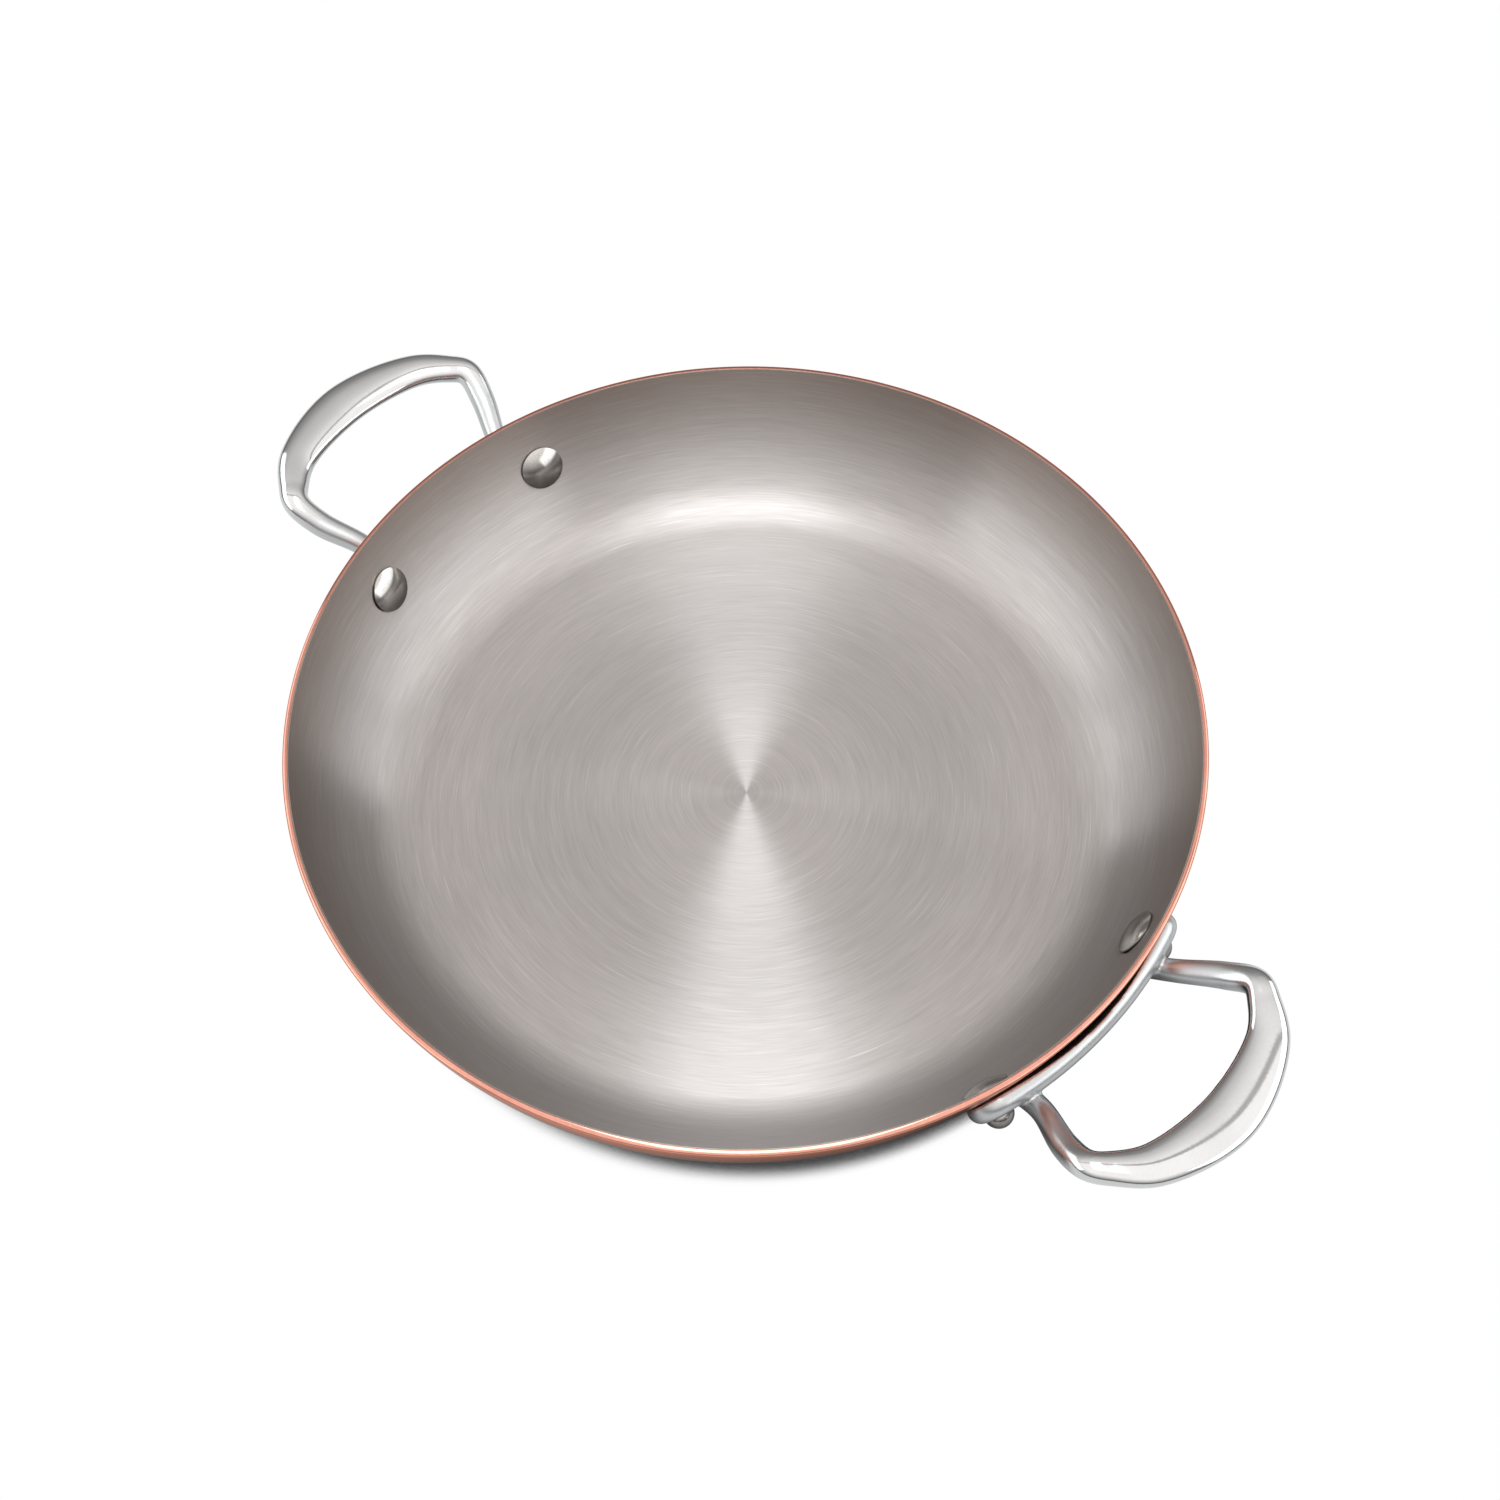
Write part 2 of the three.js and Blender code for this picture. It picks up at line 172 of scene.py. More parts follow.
# Studio: a lamp overhead, a low lamp on each side, and a room that is dim at the back and near the horizon.
# Lamps stand at a turn from the camera's right. The room's rise is in cosines to straight up. Its back
# limits, and the dim gap across its ceiling, are in cosines to the back.
LAMP_DISTANCE = 1.2
TOP_LAMP_TURN = math.radians(-90)
TOP_LAMP_ELEVATION = math.radians(87)
TOP_LAMP_ACROSS = 0.42
TOP_LAMP_TALL = 0.75
TOP_LAMP_GLOW = 3.0
TOP_LAMP_COLOUR = (0.95, 1.0, 1.02)
SIDE_LAMP_TURNS = {"right_lamp": math.radians(-5), "left_lamp": math.radians(174)}
SIDE_LAMP_ELEVATION = math.radians(24)
SIDE_LAMP_ACROSS = 1.86
SIDE_LAMP_TALL = 0.62
SIDE_LAMP_GLOW = 1.68
SIDE_LAMP_COLOUR = (0.97, 1.0, 1.01)
ROOM_HORIZON = 0.24
ROOM_DOME = 1.55
ROOM_BACK = 0.48
ROOM_RISE = (0.1, 0.7)
ROOM_BACK_LIMITS = (0.25, 0.85)
ROOM_COLOUR = (1.0, 0.96, 0.94)
CEILING_GAP_AT = 0.29
CEILING_GAP_HALF = 0.025
CEILING_GAP_GLOW = 0.45

# Camera, as found from the photograph: turn and height about the middle of the rim
CAMERA_AZIMUTH = math.radians(44.8)
CAMERA_ELEVATION = math.radians(57.957)
CAMERA_DISTANCE = 700 * MM
CAMERA_ROLL = math.radians(-1.188)
AIM_RIGHT = 1.365 * MM
AIM_UP = -9.3 * MM
LENS = 55.41
SENSOR = 36.0

# Ways as the camera sees them, and the way from which the floor's shadow is lit
right_way = Vector((math.cos(CAMERA_AZIMUTH), math.sin(CAMERA_AZIMUTH), 0))
back_way = Vector((-math.sin(CAMERA_AZIMUTH), math.cos(CAMERA_AZIMUTH), 0))
up_way = Vector((0, 0, 1))
shadow_way = (up_way - SHADOW_LEAN * right_way).normalized()

# Wall arcs: each arc adds radius * (change of sine) to the run and radius * (change of cosine) to the rise
wall_thickness = COPPER_THICKNESS + BOND_THICKNESS + LINING_THICKNESS
floor_radius = RIM_RADIUS - wall_thickness / math.sin(RIM_SLOPE) - WALL_RUN
wall_rise = PAN_HEIGHT - wall_thickness
corner_run = math.sin(CORNER_SLOPE)
corner_rise = 1 - math.cos(CORNER_SLOPE)
upper_run = math.sin(RIM_SLOPE) - math.sin(CORNER_SLOPE)
upper_rise = math.cos(CORNER_SLOPE) - math.cos(RIM_SLOPE)
determinant = corner_run * upper_rise - upper_run * corner_rise
corner_radius = (WALL_RUN * upper_rise - wall_rise * upper_run) / determinant
upper_radius = (wall_rise * corner_run - WALL_RUN * corner_rise) / determinant


def wall_point(slope, offset):
    """Radius and height of the wall at a slope, moved outwards from the lining's inside by an offset.

    Each is the centre of the arc there, plus (arc radius + offset) times sine or minus cosine of the slope.
    """
    in_corner = np.asarray(slope) <= CORNER_SLOPE
    shift = np.where(in_corner, 0.0, corner_radius - upper_radius)
    radius = np.where(in_corner, corner_radius, upper_radius) + offset
    centre_r = floor_radius + shift * math.sin(CORNER_SLOPE)
    centre_z = wall_thickness + corner_radius - shift * math.cos(CORNER_SLOPE)
    return centre_r + radius * np.sin(slope), centre_z - radius * np.cos(slope)


def slope_at_height(height):
    """Slope of the wall's inside at a height above its tight corner, from the rise of the long arc."""
    corner_top = wall_point(CORNER_SLOPE, 0.0)[1]
    return math.acos(math.cos(CORNER_SLOPE) - (height - corner_top) / upper_radius)


def slope_after(slope, distance):
    """Slopes reached by walking up the outside of the wall: length along the arcs over arc radius."""
    corner_outer = corner_radius + wall_thickness
    upper_outer = upper_radius + wall_thickness
    corner_length = corner_outer * CORNER_SLOPE
    length = corner_length + upper_outer * (slope - CORNER_SLOPE) + distance
    beyond = CORNER_SLOPE + (length - corner_length) / upper_outer
    return np.where(length <= corner_length, length / corner_outer, beyond)


def wall_profile(offset, top):
    """Rows of (radius, height) of the wall at an offset: flat floor, tight corner, long curve to a top."""
    floor_r = np.linspace(0, floor_radius, FLOOR_STEPS, endpoint=False)
    floor_z = np.full(FLOOR_STEPS, wall_thickness - offset)
    arc_top = wall_point(RIM_SLOPE, offset)[1]
    overshoot = max(arc_top - top, 0) / (upper_radius + offset)
    end_slope = math.acos(math.cos(RIM_SLOPE) + overshoot)
    corner = np.linspace(0, CORNER_SLOPE, CORNER_STEPS, endpoint=False)
    upper = np.linspace(CORNER_SLOPE, end_slope, WALL_STEPS)
    arc_r, arc_z = wall_point(np.concatenate([corner, upper]), offset)
    profile = np.column_stack([np.concatenate([floor_r, arc_r]), np.concatenate([floor_z, arc_z])])
    if arc_top < top:
        last_r, last_z = profile[-1]
        straight = [last_r + (top - last_z) / math.tan(RIM_SLOPE), top]
        profile = np.vstack([profile, straight])
    return profile


def quarter_round(start, radius_r, radius_z, steps):
    """Rows of (radius, height) of a quarter ellipse that leaves a point upwards and ends level."""
    angle = np.linspace(0, math.pi / 2, steps + 1)[1:]
    return np.column_stack([
        start[0] - radius_r * (1 - np.cos(angle)),
        start[1] + radius_z * np.sin(angle),
    ])


def in_scene(name, data):
    """New object at the origin with the given data, linked to the scene."""
    added = bpy.data.objects.new(name, data)
    bpy.context.scene.collection.objects.link(added)
    return added


def mesh_object(name, points, faces, uv=None):
    """Object at the origin, smooth but for sharp edges, with one UV pair per face corner."""
    mesh = bpy.data.meshes.new(name)
    mesh.from_pydata(points, [], faces)
    if uv is not None:
        layer = mesh.uv_layers.new(name="along_and_around")
        layer.data.foreach_set("uv", np.asarray(uv, np.float32).ravel())
    mesh.shade_smooth()
    mesh.set_sharp_from_angle(angle=SHARP_ANGLE)
    return in_scene(name, mesh)


def lathe(name, profile, segments, place=Matrix.Identity(4)):
    """Closed surface of revolution, put in place by a matrix.

    A profile row (radius, height) at angle a lies at (radius cos a, radius sin a, height). The first and
    last rows are on the axis and become single points. U is the length along the profile, and V the share
    of the turn.
    """
    angle = 2 * math.pi * np.arange(segments) / segments
    rings = profile[1:-1]
    around = np.stack([np.cos(angle), np.sin(angle)], axis=-1)
    level = np.broadcast_to(rings[:, None, 1:], (len(rings), segments, 1))
    grid = np.concatenate([rings[:, None, :1] * around, level], axis=-1).reshape(-1, 3)
    poles = np.array([[0, 0, profile[0, 1]], [0, 0, profile[-1, 1]]])
    points = np.vstack([grid, poles])
    turn = np.array(place.to_3x3())
    points = points @ turn.T + np.array(place.translation)

    step = np.arange(segments)
    after = (step + 1) % segments
    row = segments * np.arange(len(rings) - 1)[:, None]
    quads = np.stack([row + step, row + after, row + segments + after, row + segments + step], axis=-1)
    last = segments * (len(rings) - 1)
    low, high = len(grid), len(grid) + 1
    low_fan = np.stack([np.full(segments, low), after, step], axis=-1)
    high_fan = np.stack([np.full(segments, high), last + step, last + after], axis=-1)

    along = np.concatenate([[0], np.cumsum(np.linalg.norm(np.diff(profile, axis=0), axis=1))])
    inner = along[1:-1]
    v0, v1 = np.broadcast_arrays(step / segments, (step + 1) / segments)
    u0 = np.broadcast_to(inner[:-1, None], (len(rings) - 1, segments))
    u1 = np.broadcast_to(inner[1:, None], (len(rings) - 1, segments))
    v0_grid, v1_grid = np.broadcast_to(v0, u0.shape), np.broadcast_to(v1, u0.shape)
    quad_uv = np.stack([u0, v0_grid, u0, v1_grid, u1, v1_grid, u1, v0_grid], axis=-1)
    middle = (v0 + v1) / 2
    start, end = np.full(segments, inner[0]), np.full(segments, inner[-1])
    low_uv = np.stack([np.full(segments, along[0]), middle, start, v1, start, v0], axis=-1)
    high_uv = np.stack([np.full(segments, along[-1]), middle, end, v0, end, v1], axis=-1)

    faces = quads.reshape(-1, 4).tolist() + low_fan.tolist() + high_fan.tolist()
    uv = np.concatenate([quad_uv.ravel(), low_uv.ravel(), high_uv.ravel()])
    return mesh_object(name, points, faces, uv)


def skin(name, rings):
    """Closed surface over rings of points, whose first and last ring have shrunk to a point or a line."""
    count, size = rings.shape[:2]
    step = np.arange(size)
    after = (step + 1) % size
    row = size * np.arange(count - 1)[:, None]
    quads = np.stack([row + step, row + after, row + size + after, row + size + step], axis=-1)
    return mesh_object(name, rings.reshape(-1, 3), quads.reshape(-1, 4).tolist())


def copper_shell():
    """Spun copper: the wall's outside, a rounded outer lip, a narrow flat, the side under the lining."""
    outside = wall_profile(wall_thickness, PAN_HEIGHT - RIM_ROUND_TALL)
    lip = quarter_round(outside[-1], RIM_ROUND_ACROSS, RIM_ROUND_TALL, ROUND_STEPS)
    inside = wall_profile(LINING_THICKNESS + BOND_THICKNESS, PAN_HEIGHT - LIP_ROUND)
    inner_lip = quarter_round(inside[-1], -LIP_ROUND, LIP_ROUND, ROUND_STEPS // 2)
    profile = np.vstack([outside, lip, inner_lip[::-1], inside[::-1]])
    return lathe("spun_copper_shell", profile, PAN_SEGMENTS)


def steel_lining():
    """Thin steel skin: its outside against the copper, its cut edge at the rim, and the brushed inside."""
    outside = wall_profile(LINING_THICKNESS, PAN_HEIGHT)
    inside = wall_profile(0.0, PAN_HEIGHT)
    return lathe("brushed_steel_lining", np.vstack([outside, inside[::-1]]), PAN_SEGMENTS)


rivet_slope = slope_at_height(PAN_HEIGHT - RIVET_DROP)
rivet_outer_radius = float(wall_point(rivet_slope, wall_thickness)[0])
rivet_angle = RIVET_SPREAD / rivet_outer_radius
seat_face = wall_thickness + SEAT_CLEARANCE + SEAT_THICKNESS


def rivet_place(angle):
    """Matrix with local Z along the wall's outward normal and the origin on the inside of the wall."""
    radius, height = (float(value) for value in wall_point(rivet_slope, 0.0))
    lean = math.sin(rivet_slope)
    normal = Vector((lean * math.cos(angle), lean * math.sin(angle), -math.cos(rivet_slope)))
    turn = up_way.rotation_difference(normal).to_matrix().to_4x4()
    return Matrix.Translation((radius * math.cos(angle), radius * math.sin(angle), height)) @ turn


def dome(radius, height, under, way):
    """Rows of (radius, height) of a cap of a sphere on an upright edge, from the edge to the axis.

    The cap's slope at the edge is twice the slope of the chord from there to the top.
    """
    edge_slope = 2 * math.atan((height - HEAD_EDGE) / radius)
    sphere = radius / math.sin(edge_slope)
    angle = np.linspace(edge_slope, 0, DOME_STEPS + 1)
    rise = HEAD_EDGE + sphere * (np.cos(angle) - math.cos(edge_slope))
    rows = np.column_stack([sphere * np.sin(angle), under + way * rise])
    rows[-1, 0] = 0
    return rows


def domed_rivet(name, angle):
    """Rivet through the wall and the seat: a wide low dome inside, a shank, and a smaller dome outside."""
    hollow = INNER_HEAD_RADIUS ** 2 / (2 * upper_radius)
    inner_under = -HEAD_CLEARANCE - hollow
    outer_under = seat_face + HEAD_CLEARANCE
    profile = np.vstack([
        dome(INNER_HEAD_RADIUS, INNER_HEAD_HEIGHT, inner_under, -1)[::-1],
        [INNER_HEAD_RADIUS, inner_under],
        [SHANK_RADIUS, inner_under],
        [SHANK_RADIUS, outer_under],
        [OUTER_HEAD_RADIUS, outer_under],
        dome(OUTER_HEAD_RADIUS, OUTER_HEAD_HEIGHT, outer_under, 1),
    ])
    return lathe(name, profile, RIVET_SEGMENTS, rivet_place(angle))


def seat_ring(inset, offset_at):
    """Outline of the seat strip at an inset, laid on the outside of the wall.

    The outline is two straight sides and two half ellipses, in distances round the pan and up the wall.
    """
    kept = 1 - inset / SEAT_HALF_HEIGHT
    half_height = SEAT_HALF_HEIGHT * kept
    angle = math.pi * (np.linspace(0, 1, SEAT_END_STEPS + 1) - 0.5)
    reach = RIVET_SPREAD + SEAT_END_REACH * kept * np.cos(angle)
    end = np.column_stack([reach, half_height * np.sin(angle)])
    along = np.linspace(1, -1, SEAT_SIDE_STEPS + 1)[1:-1]
    side = np.column_stack([RIVET_SPREAD * along, np.full(len(along), half_height)])
    outline = np.vstack([end, side, -end, -side])
    around, up = outline[:, 0], outline[:, 1]
    offset = wall_thickness + offset_at(around, up)
    radius, height = wall_point(slope_after(rivet_slope, up + SEAT_RISE), offset)
    turn = around / rivet_outer_radius
    return np.column_stack([radius * np.cos(turn), radius * np.sin(turn), height])


def seat_strip():
    """Seat strip: a back along the wall that lifts off at its upper middle, an edge, a pillowed face."""
    def inner(around, up):
        """Offset of the back: a clearance, and a relief that fades to the rivets and to the lower edge."""
        across = np.minimum(np.abs(around) / RIVET_SPREAD, 1)
        height = np.clip(0.5 + up / SEAT_HALF_HEIGHT, 0, 1)
        return SEAT_CLEARANCE + BRIDGE_RELIEF * (1 - across ** 2) ** 2 * height

    def edge(around, up):
        return np.maximum(inner(around, up) + SEAT_EDGE / 2, SEAT_CLEARANCE + SEAT_EDGE)

    def outer(rise):
        return lambda around, up: np.full(len(around), SEAT_CLEARANCE + rise)

    rings = [seat_ring(SEAT_HALF_HEIGHT * share, inner) for share in np.linspace(1, 0, SEAT_BACK_RINGS)]
    rings.append(seat_ring(0.0, edge))
    for turn in np.linspace(0, math.pi / 2, SEAT_ROUND_STEPS + 1)[1:]:
        rise = SEAT_EDGE + (SEAT_THICKNESS - SEAT_EDGE) * math.sin(turn)
        rings.append(seat_ring(SEAT_ROUND * (1 - math.cos(turn)), outer(rise)))
    for inset in np.linspace(SEAT_ROUND, SEAT_HALF_HEIGHT, SEAT_FACE_STEPS + 1)[1:]:
        rings.append(seat_ring(inset, outer(SEAT_THICKNESS)))
    return skin("seat_strip", np.array(rings))


def smooth_through(keys, steps):
    """Smooth run of rows through key rows.

    Cubic pieces with knots spaced by the root of the distance between keys. The slope at a key weighs the
    paces on its two sides, and an end key keeps the pace of its only side.
    """
    gaps = np.sqrt(np.linalg.norm(np.diff(keys[:, :3], axis=0), axis=1))[:, None]
    pace = np.diff(keys, axis=0) / gaps
    middle = (pace[:-1] * gaps[1:] + pace[1:] * gaps[:-1]) / (gaps[:-1] + gaps[1:])
    slopes = np.vstack([pace[:1], middle, pace[-1:]])
    t = (np.arange(steps) / steps)[None, :, None]
    ease = t * t * (3 - 2 * t)
    leave = t * (1 - t) ** 2 * gaps[:, None]
    arrive = t * t * (t - 1) * gaps[:, None]
    start, end = keys[:-1, None], keys[1:, None]
    run = start * (1 - ease) + end * ease + slopes[:-1, None] * leave + slopes[1:, None] * arrive
    return np.vstack([run.reshape(-1, keys.shape[1]), keys[-1:]])


def handle_loop():
    """Loop of the handle: a section between an ellipse and a rectangle along a smooth centreline.

    A row of keys is reach, spread, drop, width and thickness. A station is x, y, z, width and thickness.
    """
    keys = np.array([list(key.values()) for key in LOOP_KEYS.values()]) * MM
    foot_slope = slope_at_height(PAN_HEIGHT - LEG_FOOT_DROP)
    foot_r, foot_z = wall_point(foot_slope, wall_thickness + SEAT_CLEARANCE + SEAT_THICKNESS / 2)
    foot_x = math.sqrt(foot_r ** 2 - LEG_FOOT_SPREAD ** 2)
    half = np.column_stack([RIM_RADIUS + keys[:, 0], keys[:, 1], PAN_HEIGHT - keys[:, 2], keys[:, 3:]])
    half = np.vstack([[foot_x, LEG_FOOT_SPREAD, foot_z, *keys[0, 3:]], half])
    mirrored = half[-2::-1] * [1, -1, 1, 1, 1]
    stations = smooth_through(np.vstack([half, mirrored]), STEPS_PER_KEY)
    centres = stations[:, :3]
    along = np.gradient(centres, axis=0)
    along /= np.linalg.norm(along, axis=1, keepdims=True)
    side = np.cross([0, 0, 1], along)
    side /= np.linalg.norm(side, axis=1, keepdims=True)
    up = np.cross(along, side)
    angle = 2 * math.pi * np.arange(SECTION_POINTS) / SECTION_POINTS
    across = np.sign(np.cos(angle)) * np.abs(np.cos(angle)) ** (2 / SECTION_POWER)
    rise = np.sign(np.sin(angle)) * np.abs(np.sin(angle)) ** (2 / SECTION_POWER)
    half_width, half_height = stations[:, 3, None] / 2, stations[:, 4, None] / 2
    rings = (centres[:, None]
             + side[:, None] * (half_width * across)[..., None]
             + up[:, None] * (half_height * rise)[..., None])
    ends = np.broadcast_to(centres[[0, -1], None], (2, SECTION_POINTS, 3))
    return skin("handle_loop", np.concatenate([ends[:1], rings, ends[1:]]))


def head_room(angle):
    """Round plug that keeps the casting clear of a rivet's outer head."""
    radius = OUTER_HEAD_RADIUS + HEAD_CLEARANCE
    top = seat_face + HEAD_ROOM_HEIGHT
    profile = np.array([[0, seat_face], [radius, seat_face], [radius, top], [0, top]])
    return lathe("head_room", profile, RIVET_SEGMENTS, rivet_place(angle))


def cast_handle(name):
    """One casting for the +X side: seat and loop joined, head rooms cut, then evened out and softened."""
    casting = seat_strip()
    tools = [(handle_loop(), "UNION")]
    for side in (-1, 1):
        tools.append((head_room(side * rivet_angle), "DIFFERENCE"))
    for tool, operation in tools:
        joint = casting.modifiers.new("join", "BOOLEAN")
        joint.operation = operation
        joint.solver = "EXACT"
        joint.object = tool
    even = casting.modifiers.new("even", "REMESH")
    even.mode = "VOXEL"
    even.voxel_size = CASTING_VOXEL
    soften = casting.modifiers.new("soften", "SMOOTH")
    soften.factor = CASTING_SOFTENING
    soften.iterations = CASTING_SMOOTHING
    bpy.context.view_layer.update()
    finished = casting.evaluated_get(bpy.context.evaluated_depsgraph_get())
    mesh = bpy.data.meshes.new_from_object(finished)
    mesh.name = name
    mesh.shade_smooth()
    for scrap in [casting] + [tool for tool, _ in tools]:
        bpy.data.meshes.remove(scrap.data)
    return in_scene(name, mesh)


def turned_half_round(piece, name):
    """Copy of a piece, turned by half a turn about Z in its mesh: x and y change sign."""
    mesh = piece.data.copy()
    mesh.name = name
    mesh.transform(Matrix.Rotation(math.pi, 4, "Z"))
    return in_scene(name, mesh)


# Node helpers

def new_material(name):
    """Material with an empty Principled surface, as (material, nodes, links, shader)."""
    material = bpy.data.materials.new(name)
    material.use_nodes = True
    nodes, links = material.node_tree.nodes, material.node_tree.links
    return material, nodes, links, nodes["Principled BSDF"]


def math_node(tree, operation, first, second=None, third=None):
    """Math node on values or sockets, and its result socket."""
    node = tree.nodes.new("ShaderNodeMath")
    node.operation = operation
    for socket, value in zip(node.inputs, (first, second, third)):
        if value is None:
            continue
        if isinstance(value, (int, float)):
            socket.default_value = value
        else:
            tree.links.new(value, socket)
    return node.outputs[0]


def mapped(tree, value, from_low, from_high, to_low, to_high, curve="LINEAR"):
    """Map Range node that clamps, and its result socket."""
    node = tree.nodes.new("ShaderNodeMapRange")
    node.interpolation_type = curve
    tree.links.new(value, node.inputs["Value"])
    limits = {"From Min": from_low, "From Max": from_high, "To Min": to_low, "To Max": to_high}
    for name, number in limits.items():
        node.inputs[name].default_value = number
    return node.outputs["Result"]


def mixed_colour(tree, factor, first, second, blend="MIX"):
    """Mix node for colours, and its result socket.

    The node's colour inputs are its sockets 6 and 7, and the colour result is its socket 2.
    """
    node = tree.nodes.new("ShaderNodeMix")
    node.data_type = "RGBA"
    node.blend_type = blend
    for socket, value in ((node.inputs[0], factor), (node.inputs[6], first), (node.inputs[7], second)):
        if isinstance(value, bpy.types.NodeSocket):
            tree.links.new(value, socket)
        elif isinstance(value, (int, float)):
            socket.default_value = value
        else:
            socket.default_value = (*value, 1)
    return node.outputs[2]


def worked_metal_group():
    """Shared effect of worked metal: soft patches and fine grain, as a colour, a roughness and a height."""
    group = bpy.data.node_groups.new("worked_metal", "ShaderNodeTree")
    sockets = group.interface
    for name in ("Colour", "Dull Colour"):
        sockets.new_socket(name, in_out="INPUT", socket_type="NodeSocketColor")
    for name in ("Patch Scale", "Grain Scale", "Smooth", "Rough"):
        sockets.new_socket(name, in_out="INPUT", socket_type="NodeSocketFloat")
    sockets.new_socket("Colour", in_out="OUTPUT", socket_type="NodeSocketColor")
    for name in ("Roughness", "Height"):
        sockets.new_socket(name, in_out="OUTPUT", socket_type="NodeSocketFloat")
    given = group.nodes.new("NodeGroupInput")
    result = group.nodes.new("NodeGroupOutput")
    place = group.nodes.new("ShaderNodeTexCoord").outputs["Object"]

    patches = group.nodes.new("ShaderNodeTexNoise")
    patches.inputs["Detail"].default_value = PATCH_DETAIL
    grain = group.nodes.new("ShaderNodeTexNoise")
    grain.inputs["Detail"].default_value = GRAIN_DETAIL
    for texture, scale in ((patches, "Patch Scale"), (grain, "Grain Scale")):
        group.links.new(place, texture.inputs["Vector"])
        group.links.new(given.outputs[scale], texture.inputs["Scale"])
    coarse = mapped(group, patches.outputs["Fac"], *PATCH_LIMITS, 0.0, 1.0)
    fine = mapped(group, grain.outputs["Fac"], *GRAIN_LIMITS, 0.0, 1.0)
    patch_wear = math_node(group, "MULTIPLY", coarse, 1 - GRAIN_SHARE)
    worn = math_node(group, "MULTIPLY_ADD", fine, GRAIN_SHARE, patch_wear)
    colour = mixed_colour(group, worn, given.outputs["Colour"], given.outputs["Dull Colour"])
    span = math_node(group, "SUBTRACT", given.outputs["Rough"], given.outputs["Smooth"])
    roughness = math_node(group, "MULTIPLY_ADD", span, worn, given.outputs["Smooth"])
    group.links.new(colour, result.inputs["Colour"])
    group.links.new(roughness, result.inputs["Roughness"])
    group.links.new(fine, result.inputs["Height"])
    return group


def place_group(tree, group, colours, values):
    """Shared effect placed in a material with its own colours and values."""
    node = tree.nodes.new("ShaderNodeGroup")
    node.node_tree = group
    for name, colour in colours:
        node.inputs[name].default_value = (*colour, 1)
    for name, value in values:
        node.inputs[name].default_value = value
    return node


def bumped(tree, height, strength, distance):
    """Bump node from a height socket, and its normal socket."""
    node = tree.nodes.new("ShaderNodeBump")
    node.inputs["Strength"].default_value = strength
    node.inputs["Distance"].default_value = distance
    tree.links.new(height, node.inputs["Height"])
    return node.outputs["Normal"]


def place_in_pan(tree):
    """The X, Y and Z sockets of the place in the pan's frame."""
    place = tree.nodes.new("ShaderNodeSeparateXYZ")
    tree.links.new(tree.nodes.new("ShaderNodeTexCoord").outputs["Object"], place.inputs[0])
    return place.outputs


def from_axis(tree):
    """Distance from the pan's axis."""
    place = place_in_pan(tree)
    square = math_node(tree, "MULTIPLY", place["X"], place["X"])
    both = math_node(tree, "MULTIPLY_ADD", place["Y"], place["Y"], square)
    return math_node(tree, "SQRT", both)


def near_the_wall(tree):
    """1 on a handle's seat, falling to 0 along its legs, by the distance from the pan's axis."""
    return mapped(tree, from_axis(tree), SATIN_FULL, SATIN_END, 1.0, 0.0, "SMOOTHSTEP")


def painted_shade_low_on_rivet(tree):
    """1 on the lower part of a rivet's heads, where shade is painted, falling to 0 above its axis, by the
    height.
    """
    return mapped(tree, place_in_pan(tree)["Z"], RIVET_PAINTED_SHADE_FULL, RIVET_PAINTED_SHADE_END, 1.0, 0.0, "SMOOTHSTEP")


def worked_metal(name, group, colours, values, bump_strength, edge_tint=(1, 1, 1), satin_and_painted_shade=None):
    """Metal whose colour, roughness and bump come from the shared effect, with a tint at glancing angles.

    The last argument makes a mask, and gives the tint and the added roughness where that mask is 1. It gives
    a handle's seat a satin finish, and paints shade on the lower part of a rivet's heads.
    """
    material, _, links, shader = new_material(name)
    tree = material.node_tree
    effect = place_group(tree, group, colours, values)
    colour, roughness = effect.outputs["Colour"], effect.outputs["Roughness"]
    if satin_and_painted_shade:
        make_mask, tint, added_roughness = satin_and_painted_shade
        mask = make_mask(tree)
        # On a rivet this tint is painted shade on the lower part of its heads; on a handle's seat it is the
        # satin colour
        colour = mixed_colour(tree, mask, colour, tint, blend="MULTIPLY")
        roughness = math_node(tree, "MULTIPLY_ADD", mask, added_roughness, roughness)
    links.new(colour, shader.inputs["Base Color"])
    links.new(roughness, shader.inputs["Roughness"])
    normal = bumped(tree, effect.outputs["Height"], bump_strength, GRAIN_DEPTH)
    links.new(normal, shader.inputs["Normal"])
    shader.inputs["Metallic"].default_value = 1
    shader.inputs["Specular Tint"].default_value = (*edge_tint, 1)
    return material


